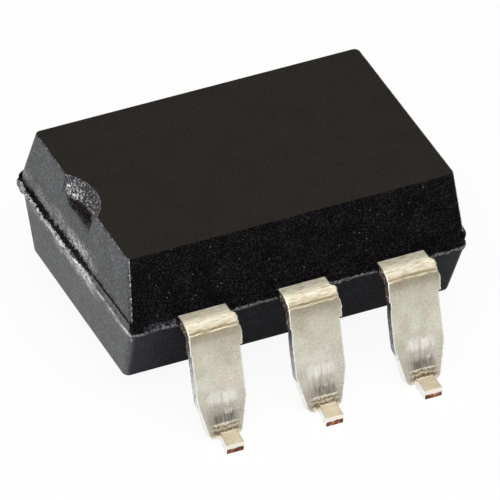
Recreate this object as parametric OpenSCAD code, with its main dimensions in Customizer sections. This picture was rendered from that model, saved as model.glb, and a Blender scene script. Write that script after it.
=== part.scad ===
// Six-lead optocoupler in a dual in-line body, with gull-wing leads for surface mounting.
// Millimetres. X runs along the lead rows, Y across them and Z up from the board.
// The index notch is at the -X end. Lead 1 is at the front left, and the numbers run
// anticlockwise seen from above. An infrared emitter hangs face down over a phototransistor,
// and a pale inner moulding carries the light between them.

/* [Moulded body] */
// Length of the walls at the parting plane
body_l = 8.56; // [8.2:0.02:9.2]
// Width of the walls at the parting plane
body_w = 6.22; // [5.9:0.02:6.5]
// Height of the upper half, above the lead frame
upper_h = 1.49; // [1.35:0.01:2]
// Height of the lower half, below the lead frame
lower_h = 1.73; // [1.4:0.01:2]
// Draft of the two long walls, in degrees from the vertical
side_draft = 18.1; // [8:0.1:20]
// Draft of the two end walls, in degrees from the vertical
end_draft = 3.9; // [2:0.1:8]
// Radius of the upper half's edges
upper_edge_r = 0.05; // [0.02:0.01:0.2]
// Radius of the lower half's edges
lower_edge_r = 0.08; // [0.04:0.01:0.3]
// Radius of the upper half's corners, seen from above
upper_corner_r = 0.14; // [0.05:0.01:0.3]
// Radius of the lower half's corners, seen from above
lower_corner_r = 0.16; // [0.05:0.01:0.4]
// How far the lower half's long walls stand out past the upper half's, at the parting plane
lower_step = 0.05; // [0:0.01:0.08]
// How far the flash at the parting plane stands proud of the walls
flash_proud = 0.12; // [0.04:0.01:0.16]
// Height over which the flash fades into the lower half's walls
flash_fade = 0.14; // [0.05:0.01:0.3]

/* [Index notch] */
// Width of the notch along the top edge of the end wall
notch_w = 1.8; // [1.2:0.05:2.2]
// How far the notch reaches into the top face
notch_reach = 0.41; // [0.3:0.01:0.6]
// Depth of the notch below the top face
notch_depth = 0.48; // [0.3:0.01:0.7]
// Draft of the notch's round wall, in degrees from the vertical
notch_draft = 25; // [5:1:30]

/* [Leads outside the body] */
// Spacing of the leads along a row
lead_pitch = 2.54; // [2.4:0.02:2.6]
// Distance between the two rows, at the top of the legs
row_spacing = 7.62; // [7.5:0.02:7.9]
// Overall width across the feet
foot_span = 10.4; // [10.2:0.05:11]
// Thickness of the lead frame
lead_t = 0.25; // [0.2:0.01:0.3]
// Width of a leg
leg_w = 1.24; // [1:0.02:1.4]
// Width of a leg at its lower shoulders, where the foot leaves it
shoulder_w = 0.74; // [0.66:0.02:0.95]
// Width of a foot
foot_w = 0.42; // [0.3:0.02:0.6]
// Height of the body above the board
standoff = 0.78; // [0.5:0.02:1]
// Outward lean of the legs, in degrees from the vertical
leg_splay = 19.5; // [14:0.5:21]
// Inner radius of the bend at the top of a leg
knee_r = 0.15; // [0.1:0.01:0.22]
// Inner radius of the bend above a foot
ankle_r = 0.06; // [0.04:0.01:0.3]
// Chamfer on the corners of a foot's end
toe_chamfer = 0.02; // [0.01:0.01:0.1]
// Height above the board at which a leg starts to narrow
taper_top = 1.06; // [0.8:0.02:1.2]
// Height of the shoulders' front edge above the board
shoulder_h = 0.14; // [0.1:0.01:0.25]
// Radius of the shoulders' corners
shoulder_r = 0.12; // [0.05:0.01:0.15]
// How far the cut ends of the tie bar stand out of a leg's edges
tie_stub = 0.065; // [0.03:0.005:0.1]
// Height of a cut tie bar end
tie_stub_h = 0.26; // [0.2:0.02:0.5]
// Drop from the top of a lead to its tie bar ends
tie_stub_drop = 0.34; // [0.28:0.02:0.6]
// Height over which a lead widens to its tie bar ends
tie_flare = 0.2; // [0.1:0.02:0.26]

/* [Lead frame inside the body] */
// How far the die pads are bent out of the lead plane
pad_set = 0.55; // [0.5:0.01:0.6]
// Angle of that bend, in degrees
set_angle = 50; // [35:1:60]
// Inner radius of that bend
set_r = 0.13; // [0.08:0.01:0.18]
// Distance from the middle plane to the inner end of that bend
set_start = 1.15; // [1.05:0.01:1.2]
// Width of a die pad
pad_w = 1.7; // [1.4:0.02:1.8]
// How far a die pad reaches past the middle plane
pad_reach = 0.8; // [0.65:0.01:0.9]
// Gap between a die pad and the bonding fingers beside it
finger_gap = 0.36; // [0.25:0.01:0.45]
// How far a bonding finger reaches past the middle plane
finger_reach = 0.15; // [0.1:0.01:0.3]
// Setback of a bonding finger's sloping edges
finger_slope = 0.31; // [0.2:0.01:0.4]

/* [Chips and bond wires] */
// Side of the square infrared emitter chip
emitter_side = 0.36; // [0.25:0.01:0.5]
// Side of the square phototransistor chip
detector_side = 0.9; // [0.7:0.02:1.1]
// Distance of the phototransistor's bond pads from its middle, along each side
bond_offset = 0.22; // [0.15:0.01:0.28]
// Thickness of both chips
chip_t = 0.2; // [0.15:0.01:0.24]
// Thickness of the adhesive under a chip
adhesive_t = 0.025; // [0.015:0.005:0.04]
// Border of adhesive that shows round a chip
adhesive_border = 0.05; // [0.02:0.01:0.1]
// Diameter of the bond wires
wire_d = 0.04; // [0.03:0.005:0.05]
// Rise of a bond wire above the line between its ends
wire_rise = 0.14; // [0.08:0.01:0.16]
// Diameter of the flattened ball at a wire's chip end
ball_d = 0.1; // [0.08:0.01:0.12]
// Height of the flattened ball, and of the weld at the other end
ball_h = 0.05; // [0.045:0.005:0.06]

/* [Inner moulding] */
// Length of the pale inner moulding
inner_l = 6.7; // [6.5:0.05:7.2]
// Width of the inner moulding
inner_w = 4.1; // [3.9:0.05:4.4]
// Height of the inner moulding above the lead frame, and its depth below it
inner_h = 0.95; // [0.88:0.01:1.05]
// Draft of the inner moulding's walls, in degrees from the vertical
inner_draft = 10; // [4:1:12]
// Edge radius of the inner moulding
inner_edge_r = 0.15; // [0.08:0.01:0.25]
// Radius of the inner moulding's corners, seen from above
inner_corner_r = 0.19; // [0.1:0.01:0.4]

/* [Hidden] */

$fn = 48;
corner_steps = 6;
edge_steps = 5;
bend_step_deg = 6;
// What is left of a corner's radius where a rounded edge runs round it
least_corner_r = 0.02;
// How far cutting shapes run past what they cut
clear = 1;

// Heights of the body's planes above the board
frame_bottom = standoff + lower_h;
frame_top = frame_bottom + lead_t;
body_top = frame_top + upper_h;

// The notch is a cone whose axis stands outside the end wall
top_half_l = body_l / 2 - upper_h * tan(end_draft);
notch_r = (pow(notch_w / 2, 2) + pow(notch_reach, 2)) / (2 * notch_reach);
notch_floor_r = notch_r - notch_depth * tan(notch_draft);
notch_x = -top_half_l + notch_reach - notch_r;

// The leg's path along the middle of the sheet, which the foot leaves above the shoulders
fold = 90 - leg_splay;
frame_mid = frame_bottom + lead_t / 2;
knee_mid_r = knee_r + lead_t / 2;
ankle_mid_r = ankle_r + lead_t / 2;
wall_out = body_w / 2 + flash_proud;
knee_start = row_spacing / 2 - knee_mid_r * sin(fold);
knee_end_z = frame_mid - knee_mid_r * (1 - cos(fold));
leg_run = (knee_end_z - lead_t / 2 - ankle_mid_r * (1 - cos(fold))) / sin(fold);
shoulder_run = (knee_end_z - shoulder_h + lead_t / 2 * cos(fold)) / sin(fold);
foot_start = row_spacing / 2 + leg_run * cos(fold) + ankle_mid_r * sin(fold);
foot_end = foot_span / 2;
taper = atan((leg_w - shoulder_w) / 2 / (taper_top - shoulder_h));
stub_top = frame_top - tie_stub_drop;

// The bend that lifts or lowers a die pad
set_mid_r = set_r + lead_t / 2;
set_run = (pad_set - 2 * set_mid_r * (1 - cos(set_angle))) / sin(set_angle);
set_l = 2 * set_mid_r * sin(set_angle) + set_run * cos(set_angle);
set_end = set_start + set_l;
finger_in = lead_pitch - pad_w / 2 - finger_gap;

// The faces that carry the chips, and where the wires land
emitter_face = frame_bottom + pad_set;
detector_face = frame_top - pad_set;
weld_span = pad_w / 2 + finger_gap + ball_d;
chip_face = adhesive_t + chip_t;

function reversed(list) = [for (i = [len(list) - 1 : -1 : 0]) list[i]];

// Stations along a bent strip: each move is a straight run, then a turn of some degrees
// about a middle radius. A station is [x, y, heading].
function turned(p, deg, r) = let (side = sign(deg), h = p[2])
    [p[0] + side * r * (sin(h + deg) - sin(h)), p[1] - side * r * (cos(h + deg) - cos(h)), h + deg];
function stations(moves, p, i = 0) = i == len(moves) ? [p] :
    let (m = moves[i],
         q = [p[0] + m[0] * cos(p[2]), p[1] + m[0] * sin(p[2]), p[2]],
         steps = ceil(abs(m[1]) / bend_step_deg),
         arc = [for (k = [1 : 1 : steps - 1]) turned(q, m[1] * k / steps, m[2])],
         last = steps > 0 ? turned(q, m[1], m[2]) : q)
    concat([p], steps > 0 && m[0] > 0 ? [q] : [], arc, stations(moves, last, i + 1));

// The sheet's outline on both sides of its path
function strip_side(s, offset) = [for (p = s) [p[0] - offset * sin(p[2]), p[1] + offset * cos(p[2])]];
module strip(moves, start) {
    path = stations(moves, start);
    polygon(concat(strip_side(path, lead_t / 2), strip_side(reversed(path), -lead_t / 2)));
}

// A rounded rectangle, anticlockwise from above
function outline(half_x, half_y, r) = [
    for (quarter = [0 : 3]) for (k = [0 : corner_steps])
        let (a = 90 * (quarter + k / corner_steps),
             sx = quarter == 0 || quarter == 3 ? 1 : -1,
             sy = quarter < 2 ? 1 : -1)
        [sx * (half_x - r) + r * cos(a), sy * (half_y - r) + r * sin(a)]];

// One closed solid through rounded rectangles, from the lowest up.
// Each is given as [half x, half y, corner radius, height].
module lofted(rings) {
    n = 4 * (corner_steps + 1);
    last = (len(rings) - 1) * n;
    points = [for (s = rings) for (p = outline(s[0], s[1], s[2])) [p[0], p[1], s[3]]];
    walls = [for (s = [0 : len(rings) - 2]) for (i = [0 : n - 1]) let (j = (i + 1) % n)
        [s * n + i, (s + 1) * n + i, (s + 1) * n + j, s * n + j]];
    caps = [[for (i = [0 : n - 1]) i], [for (i = [n - 1 : -1 : 0]) last + i]];
    polyhedron(points, concat(caps, walls));
}

// How far a drafted wall stands out at a height above the face that its rounded edge runs into,
// measured from the sharp corner that the edge replaces
function edge_reach(h, r, draft) = h >= r * (1 - sin(draft)) ? h * tan(draft) :
    r * (sqrt(1 - pow(1 - h / r, 2)) - tan(45 - draft / 2));

// Rings of one half of a drafted block, from its rounded face to the parting plane.
// up is 1 for a lower half and -1 for an upper one.
function half_block(l, w, h, face_z, up, end_deg, side_deg, edge, corner) =
    let (half_x = l / 2 - h * tan(end_deg), half_y = w / 2 - h * tan(side_deg),
         levels = concat([for (k = [0 : edge_steps]) edge * (1 - cos(90 * k / edge_steps))], [h]))
    [for (d = levels) let (inset = d * tan(end_deg) - edge_reach(d, edge, end_deg))
        [half_x + edge_reach(d, edge, end_deg), half_y + edge_reach(d, edge, side_deg),
         max(corner - inset, least_corner_r), face_z + up * d]];

// The body as the mould leaves it: two drafted halves, with a rim of flash as thick as the lead frame
module moulded_body() {
    fade_l = body_l - 2 * flash_fade * tan(end_draft);
    fade_w = body_w + 2 * lower_step - 2 * flash_fade * tan(side_draft);
    lower = half_block(fade_l, fade_w, lower_h - flash_fade, standoff, 1, end_draft, side_draft,
                       lower_edge_r, lower_corner_r);
    rim = [for (z = [frame_bottom, frame_top])
        [body_l / 2 + flash_proud, wall_out, lower_corner_r + flash_proud, z]];
    upper = half_block(body_l, body_w, upper_h, body_top, -1, end_draft, side_draft,
                       upper_edge_r, upper_corner_r);
    lofted(concat(lower, rim, reversed(upper)));
}

module index_notch() {
    translate([notch_x, 0, body_top - notch_depth])
        cylinder(h = notch_depth, r1 = notch_floor_r, r2 = notch_r);
    translate([notch_x, 0, body_top]) cylinder(h = clear, r = notch_r);
}

module inner_block() {
    lower = half_block(inner_l, inner_w, inner_h, frame_bottom - inner_h, 1, inner_draft, inner_draft,
                       inner_edge_r, inner_corner_r);
    upper = half_block(inner_l, inner_w, inner_h, frame_top + inner_h, -1, inner_draft, inner_draft,
                       inner_edge_r, inner_corner_r);
    lofted(concat(lower, reversed(upper)));
}

// The part of a lead outside the body, running out along +Y. A strip as wide as the foot runs its
// whole length. The flanks that make the leg wide stay in the leg's plane and end as shoulders.
knee_move = [knee_start - wall_out, -fold, knee_mid_r];
lead_start = [wall_out, frame_mid, 0];

module foot_strip() {
    toe = foot_end - toe_chamfer;
    half = foot_w / 2;
    intersection() {
        rotate([90, 0, 90]) linear_extrude(height = foot_w, center = true)
            strip([knee_move, [leg_run, fold, ankle_mid_r], [foot_end - foot_start, 0, 0]], lead_start);
        linear_extrude(height = frame_top + clear)
            polygon([[half, 0], [half, toe], [half - toe_chamfer, foot_end],
                     [toe_chamfer - half, foot_end], [-half, toe], [-half, 0]]);
    }
}

// A flank on the +X side, cut to the leg's front view with its tie bar end, taper and round shoulder
module leg_flank() {
    corner = [shoulder_w / 2 - shoulder_r * tan(45 - taper / 2), shoulder_h + shoulder_r];
    round = [for (k = [0 : corner_steps]) let (a = -taper - (90 - taper) * k / corner_steps)
        corner + shoulder_r * [cos(a), sin(a)]];
    intersection() {
        rotate([90, 0, 90]) translate([0, 0, foot_w / 2]) linear_extrude(height = leg_w)
            strip([knee_move, [shoulder_run, 0, 0]], lead_start);
        translate([0, foot_span, 0]) rotate([90, 0, 0]) linear_extrude(height = foot_span)
            polygon(concat(
                [[0, -clear], [0, frame_top + clear], [leg_w / 2, frame_top + clear],
                 [leg_w / 2, stub_top + tie_flare], [leg_w / 2 + tie_stub, stub_top],
                 [leg_w / 2 + tie_stub, stub_top - tie_stub_h],
                 [leg_w / 2, stub_top - tie_stub_h], [leg_w / 2, taper_top]],
                round, [[corner[0], -clear]]));
    }
}

module outer_lead() {
    foot_strip();
    leg_flank();
    mirror([1, 0, 0]) leg_flank();
}

// The part of a lead inside the body, cut to a blank seen from above. set is 1 where the pad is
// lifted, -1 where it is lowered and 0 where the lead stays flat.
module inner_lead(blank, set) {
    rise = pad_set + lead_t;
    set_moves = [[wall_out - set_end, -set * set_angle, set_mid_r], [set_run, set * set_angle, set_mid_r],
                 [set_start + pad_reach, 0, 0]];
    flat_moves = [[wall_out + pad_reach, 0, 0]];
    intersection() {
        rotate([90, 0, 90]) linear_extrude(height = 2 * lead_pitch, center = true)
            strip(set == 0 ? flat_moves : set_moves, [wall_out, frame_mid, 180]);
        translate([0, 0, frame_bottom - rise]) linear_extrude(height = 2 * rise + lead_t) polygon(blank);
    }
}

// Blanks seen from above, with the body's middle plane at y = 0 and its wall at wall_out
function pad_blank() = let (shoulder = (pad_w - leg_w) / 2)
    [[leg_w / 2, wall_out], [leg_w / 2, set_start], [pad_w / 2, set_start - shoulder],
     [pad_w / 2, -pad_reach], [-pad_w / 2, -pad_reach], [-pad_w / 2, set_start - shoulder],
     [-leg_w / 2, set_start], [-leg_w / 2, wall_out]];
function finger_blank(side) =
    [[side * leg_w / 2, wall_out], [side * leg_w / 2, set_start],
     [side * finger_in, set_start - finger_slope], [side * finger_in, -finger_reach],
     [side * (finger_slope - leg_w / 2), -finger_reach],
     [-side * leg_w / 2, set_start - finger_slope], [-side * leg_w / 2, wall_out]];
function spare_blank() =
    [[leg_w / 2, wall_out], [leg_w / 2, set_end], [-leg_w / 2, set_end], [-leg_w / 2, wall_out]];

// A lead at its place. column counts from the middle of its row, from left to right as seen from
// outside the body. The front row is the back row turned about Z.
module lead(front, column, blank, set) {
    color("silver") rotate([0, 0, front ? 180 : 0]) translate([-column * lead_pitch, 0, 0]) {
        outer_lead();
        inner_lead(blank, set);
    }
}

module lead_1_anode() { lead(true, -1, finger_blank(-1), 1); }
module lead_2_cathode() { lead(true, 0, pad_blank(), 1); }
module lead_3_spare() { lead(true, 1, spare_blank(), 0); }
module lead_4_emitter() { lead(false, -1, finger_blank(-1), -1); }
module lead_5_collector() { lead(false, 0, pad_blank(), -1); }
module lead_6_base() { lead(false, 1, finger_blank(1), -1); }

// Puts children that stand on z = 0 onto a die pad, facing the other chip
module on_emitter_pad() { translate([0, 0, emitter_face]) rotate([180, 0, 0]) children(); }
module on_detector_pad() { translate([0, 0, detector_face]) children(); }

module adhesive(side) {
    linear_extrude(height = adhesive_t) square(side + 2 * adhesive_border, center = true);
}

module chip(side) {
    translate([0, 0, adhesive_t]) linear_extrude(height = chip_t) square(side, center = true);
}

// A wire arched in the XZ plane from a ball on a chip to a weld on a finger beside it
module bond_wire(from_x, to_x, y) {
    a = [from_x, chip_face + ball_h / 2];
    b = [to_x, ball_h / 2];
    chord = norm(b - a);
    r = (pow(chord / 2, 2) + pow(wire_rise, 2)) / (2 * wire_rise);
    normal = [a[1] - b[1], b[0] - a[0]] / chord * sign(b[0] - a[0]);
    centre = (a + b) / 2 - normal * (r - wire_rise);
    half = asin(chord / 2 / r);
    middle = atan2(normal[1], normal[0]);
    color("gold") {
        translate([centre[0], y, centre[1]]) rotate([90, 0, 0]) rotate([0, 0, middle - half])
            rotate_extrude(angle = 2 * half) translate([r, 0]) circle(d = wire_d);
        translate([from_x, y, chip_face]) cylinder(h = ball_h, d = ball_d);
        translate([to_x, y, 0]) cylinder(h = ball_h, d = ball_d);
    }
}

module emitter_adhesive() { color("lightgray") on_emitter_pad() adhesive(emitter_side); }
module emitter_chip() { color("dimgray") on_emitter_pad() chip(emitter_side); }
module emitter_wire() { on_emitter_pad() bond_wire(0, -weld_span, 0); }
module detector_adhesive() { color("lightgray") on_detector_pad() adhesive(detector_side); }
module detector_chip() { color("slategray") on_detector_pad() chip(detector_side); }
module base_wire() { on_detector_pad() bond_wire(-bond_offset, -weld_span, bond_offset); }
module detector_emitter_wire() { on_detector_pad() bond_wire(bond_offset, weld_span, bond_offset); }

module all_leads() {
    lead_1_anode();
    lead_2_cathode();
    lead_3_spare();
    lead_4_emitter();
    lead_5_collector();
    lead_6_base();
}

module inner_moulding() {
    color("ivory") difference() {
        inner_block();
        all_leads();
        emitter_adhesive();
        emitter_chip();
        emitter_wire();
        detector_adhesive();
        detector_chip();
        base_wire();
        detector_emitter_wire();
    }
}

module outer_moulding() {
    color("#2b2926") difference() {
        moulded_body();
        index_notch();
        inner_block();
        all_leads();
    }
}

outer_moulding();
inner_moulding();
lead_1_anode();
lead_2_cathode();
lead_3_spare();
lead_4_emitter();
lead_5_collector();
lead_6_base();
emitter_chip();
emitter_adhesive();
emitter_wire();
detector_chip();
detector_adhesive();
base_wire();
detector_emitter_wire();
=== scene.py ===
import math
from functools import partial

import bmesh
import bpy
import numpy as np
from mathutils import Matrix, Vector, noise


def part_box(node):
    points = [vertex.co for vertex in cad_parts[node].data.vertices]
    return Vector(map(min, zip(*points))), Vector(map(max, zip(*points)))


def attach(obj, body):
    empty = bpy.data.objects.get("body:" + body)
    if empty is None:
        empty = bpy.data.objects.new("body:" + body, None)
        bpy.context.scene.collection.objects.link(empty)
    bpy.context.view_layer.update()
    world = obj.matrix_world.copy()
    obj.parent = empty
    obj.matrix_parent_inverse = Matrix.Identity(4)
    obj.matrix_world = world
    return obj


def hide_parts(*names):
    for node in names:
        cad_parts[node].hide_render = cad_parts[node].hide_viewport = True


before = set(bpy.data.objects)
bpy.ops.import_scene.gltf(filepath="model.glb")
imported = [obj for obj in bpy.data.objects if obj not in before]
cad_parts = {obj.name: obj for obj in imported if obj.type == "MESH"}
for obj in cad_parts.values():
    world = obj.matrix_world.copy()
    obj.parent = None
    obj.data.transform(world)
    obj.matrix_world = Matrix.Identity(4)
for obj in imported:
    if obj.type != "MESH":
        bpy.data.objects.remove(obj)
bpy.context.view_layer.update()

# Sizes are in millimetres until a mesh, a lamp or the camera is made, and angles in radians
MM = 0.001


def node_box(node):
    """Lowest and highest corner of a node, in millimetres."""
    return [np.array(corner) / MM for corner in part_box(node)]


body_low, body_high = node_box("outer_moulding")
_, lead_high = node_box("lead_5_collector")

# The moulded body
flash_proud = 0.12
flash_sag = 0.24
# How far below and above the flash the plain walls end
flash_fade = 0.14
flash_top = 0.015
side_draft = math.radians(18.1)
end_draft = math.radians(3.9)
# Rounded edges and corners, and how far the lower half stands out of the upper one
upper_edge_r = 0.03
lower_edge_r = 0.08
upper_corner_r = 0.14
lower_corner_r = 0.16
lower_step = 0.05
lower_longer = 0.045
least_corner_r = 0.02
# The index notch, with the width and reach of its arc on the top face
notch_w = 1.8
notch_reach = 0.41
notch_depth = 0.48
notch_draft = math.radians(25)

# The leads. A pair of values is for a lead's two sides, and a set of three for the columns.
lead_pitch = 2.54
row_spacing = 7.62
lead_t = 0.25
leg_w = 1.24
leg_edge_r = 0.038
leg_lean = {-1: 0.0, 0: 0.025, 1: 0.038}
fold = math.radians(90 - 19.5)
drawn_knee_r = 0.15 + lead_t / 2
knee_mid_r = 0.35 + lead_t / 2
knee_bulge = 0.095
crease_run = 0.425
# How far from the body the sheared sides are painted in shade
side_shade_run = 0.14
tie_stub = 0.065
tie_stub_low = 2.16
tie_stub_fade = 2.42
tie_stub_high = 2.62
sheared_low = 0.9
taper_start = (0.96, 1.04)
shoulder_w = 0.74
shoulder_h = 0.14
shoulder_r = 0.12
shoulder_spread = (0.05, 0.04)
ankle_mid_r = 0.06 + lead_t / 2
foot_w = 0.42
foot_edge_r = 0.02
foot_spread = (0.03, 0.0)
foot_lean = {-1: 0.07, 0: 0.065, 1: 0.01}
toe_chamfer = 0.008
# How far a leg goes into the body, and laps over the stamped part there
inner_reach = 0.25
inner_lap = 0.05
# How far a foot starts inside its leg, sinks below the leg's faces there, and laps over the sides of its
# pocket, and where that pocket starts
foot_lap = 0.04
foot_sink = 0.006
pocket_lap = 0.004
pocket_start = 0.012

# What follows from those sizes and the frame
half_l = body_high[0] - flash_proud
half_w = body_high[1] - flash_proud
wall_out = body_high[1]
inner_y = wall_out - inner_reach
standoff = body_low[2]
body_top = body_high[2]
frame_top = lead_high[2]
frame_bottom = frame_top - lead_t
upper_h = body_top - frame_top
lower_h = frame_bottom - standoff
foot_end = lead_high[1]
frame_mid = frame_top - lead_t / 2
knee_start = (row_spacing / 2 - drawn_knee_r * math.sin(fold)
              - (knee_mid_r - drawn_knee_r) * math.tan(fold / 2))
knee_end_y = knee_start + knee_mid_r * math.sin(fold)
knee_end_z = frame_mid - knee_mid_r * (1 - math.cos(fold))
leg_run = (knee_end_z - lead_t / 2 - ankle_mid_r * (1 - math.cos(fold))) / math.sin(fold)
shoulder_run = (knee_end_z - shoulder_h + lead_t / 2 * math.cos(fold)) / math.sin(fold)
foot_start = knee_end_y + leg_run * math.cos(fold) + ankle_mid_r * math.sin(fold)

# A lead's bent path: where and how it starts, its first run and turn, and the distance to each bend's end
lead_start = (inner_y, frame_mid, 0.0)
knee_move = (knee_start - inner_y, -fold, knee_mid_r)
knee_s = knee_move[0] + fold * knee_mid_r
ankle_s = knee_s + leg_run

# How finely the meshes are divided
perimeter_step = 0.025
sheet_step = 0.02
crease_step = 0.008
corner_steps = 10
edge_steps = 6
notch_steps = 240
# Points across a sheet's front, its back and each side, and round each edge
leg_points = (48, 24, 8, 3)
foot_points = (24, 12, 8, 3)
# Points closer than this, in metres, are one, and this far, in millimetres, is outside the part
weld = 1e-7
beyond = 9.0


def ripple(points, size, seed):
    """Smooth noise, between about -1 and 1, with bumps of one size, at points in millimetres."""
    shift = Vector((17.3, 5.9, 11.7)) * seed
    return np.array([noise.noise(Vector(p) / size + shift) for p in points])


def ease(values, start, end):
    """Rises smoothly from 0 at start to 1 at end."""
    t = np.clip((values - start) / (end - start), 0, 1)
    return t * t * (3 - 2 * t)


def bump(values, middle, width):
    """A smooth bump of height 1."""
    return np.exp(-((values - middle) / width) ** 2)


def tube_faces(rows, columns):
    """Quads between closed rings of points, with a cap on each end."""
    grid = np.arange(rows * columns).reshape(rows, columns)
    beside = np.roll(grid, -1, axis=1)
    quads = np.stack([grid[:-1], beside[:-1], beside[1:], grid[1:]], axis=-1).reshape(-1, 4)
    return quads.tolist() + [grid[0][::-1].tolist(), grid[-1].tolist()]


def put(name, data):
    """A new object in the scene, from a mesh, a lamp or a lens."""
    thing = bpy.data.objects.new(name, data)
    bpy.context.scene.collection.objects.link(thing)
    return thing


def new_solid(name, points, faces, materials, finish):
    """A closed mesh object. finish gives each face the number of its material."""
    mesh = bpy.data.meshes.new(name)
    mesh.from_pydata((np.asarray(points) * MM).tolist(), [], faces)
    for material in materials:
        mesh.materials.append(material)
    mesh.polygons.foreach_set("material_index", np.asarray(finish, dtype=np.int32))
    return put(name, mesh)


def combine(piece, tool, operation):
    """Joins a piece with another closed solid, or cuts or crops it, and keeps the result as its mesh."""
    step = piece.modifiers.new(operation.lower(), "BOOLEAN")
    step.solver = "MANIFOLD"
    step.operation = operation
    step.object = tool
    made = piece.evaluated_get(bpy.context.evaluated_depsgraph_get())
    mesh = bpy.data.meshes.new_from_object(made)
    piece.modifiers.clear()
    piece.data = mesh


def welded(mesh):
    """A mesh's shape, to work on, with its double points made one."""
    shape = bmesh.new()
    shape.from_mesh(mesh)
    bmesh.ops.remove_doubles(shape, verts=shape.verts, dist=weld)
    return shape


def solid_copy(node, filled=False):
    """A closed copy of a node's solid, to cut or join with, or of the block that it would be if filled."""
    shape = welded(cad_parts[node].data)
    if filled:
        bmesh.ops.delete(shape, geom=shape.edges, context="EDGES_FACES")
        hull = bmesh.ops.convex_hull(shape, input=shape.verts)
        bmesh.ops.delete(shape, geom=hull["geom_interior"], context="VERTS")
    mesh = bpy.data.meshes.new(node + "_copy")
    shape.to_mesh(mesh)
    shape.free()
    return put(mesh.name, mesh)


def smooth(piece, sharp_deg):
    """Welds the slivers that cutting leaves, and shades a piece smoothly, apart from its sharper edges."""
    mesh = piece.data
    shape = welded(mesh)
    shape.to_mesh(mesh)
    shape.free()
    mesh.shade_smooth()
    mesh.set_sharp_from_angle(angle=math.radians(sharp_deg))


def seat(piece, slot, *nodes):
    """Puts a finished piece on the body in place of its nodes."""
    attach(piece, "root")
    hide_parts(*nodes)


# Materials


def colour(code):
    """A linear colour from an sRGB hex value."""
    parts = [int(code[i:i + 2], 16) / 255 for i in (1, 3, 5)]
    return [p / 12.92 if p <= 0.04045 else ((p + 0.055) / 1.055) ** 2.4 for p in parts] + [1.0]


def per_mm(size):
    """The scale that gives a pattern features of a size in millimetres."""
    return 1 / (size * MM)


def add_node(tree, kind, inputs=(), stops=(), **settings):
    """Adds a node with its settings, its sockets set or linked, and a ramp's stops. A node that is given for
    a socket stands for its first output."""
    node = tree.nodes.new("ShaderNode" + kind)
    for name, value in settings.items():
        setattr(node, name, value)
    for name, value in dict(inputs).items():
        if isinstance(value, bpy.types.Node):
            value = value.outputs[0]
        if isinstance(value, bpy.types.NodeSocket):
            tree.links.new(value, node.inputs[name])
        else:
            node.inputs[name].default_value = value
    for place, (position, code) in enumerate(stops):
        ramp = node.color_ramp.elements
        stop = ramp[place] if place < len(ramp) else ramp.new(position)
        stop.position = position
        stop.color = colour(code)
    return node


def new_material(name):
    """An empty material, and the function that adds a node to it."""
    material = bpy.data.materials.new(name)
    material.use_nodes = True
    material.node_tree.nodes.clear()
    return material, partial(add_node, material.node_tree)


# A Map Range takes its value at socket 0, the range that it comes from at 1 and 2, and the other at 3 and 4


def bands(add, run, low, high, *tones):
    """Tones at distances in millimetres along a run."""
    share = add("MapRange", {0: run, 1: low, 2: high})
    stops = [((size - low) / (high - low), code) for size, code in tones]
    return add("ValToRGB", {"Fac": share}, stops)


def places(add):
    """A point in its piece's frame: its place in metres, x, y and z in millimetres, and the way it faces."""
    point = add("TexCoord")
    where = point.outputs["Object"]
    sized = add("VectorMath", {0: where, "Scale": 1 / MM}, operation="SCALE")
    return where, *(add("SeparateXYZ", {0: way}).outputs for way in (sized, point.outputs["Normal"]))


def own_place(add):
    """A point's place on its own piece, shifted from column to column so that no two leads in a row match."""
    where = add("TexCoord").outputs["Object"]
    column = add("ObjectInfo").outputs["Location"]
    return add("VectorMath", {0: where, 1: column}, operation="ADD")


def laid(add, skin, tone, share, *masks):
    """A skin with a tone laid over it by a share, and only where the masks let it."""
    for mask in masks:
        share = add("Math", {0: share, 1: mask}, operation="MULTIPLY")
    return add("MixRGB", {"Fac": share, "Color1": skin, "Color2": tone})


def surface(material, add, skin, height, depth, rough, metal, others=()):
    """Ends a material with its colour, a relief of a depth in millimetres, its roughness, how far it looks
    like metal, and other sockets."""
    relief = add("Bump", {"Height": height, "Distance": depth * MM})
    shader = add("BsdfPrincipled", {
        "Base Color": skin, "Normal": relief, "Roughness": rough, "Metallic": metal, **dict(others)})
    add("OutputMaterial", {"Surface": shader})
    return material


def flash_level(add, spot, wander):
    """Height above the board as if the flash didn't sag, less the further out on the flash, and wandering."""
    sag = add("MapRange", {0: spot["Y"], 1: -half_w, 2: half_w, 4: flash_sag})
    sunk = add("MapRange", {0: spot["Z"], 1: frame_bottom, 2: frame_bottom + 0.06, 4: sag})
    off = add("Math", {0: spot["X"]}, operation="ABSOLUTE")
    out = add("MapRange", {0: off, 1: half_l, 2: half_l + 0.1, 3: 0.0, 4: -0.15}, clamp=False)
    level = spot["Z"]
    for rise in (sunk, out, wander):
        level = add("Math", {0: level, 1: rise}, operation="ADD")
    return level


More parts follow.
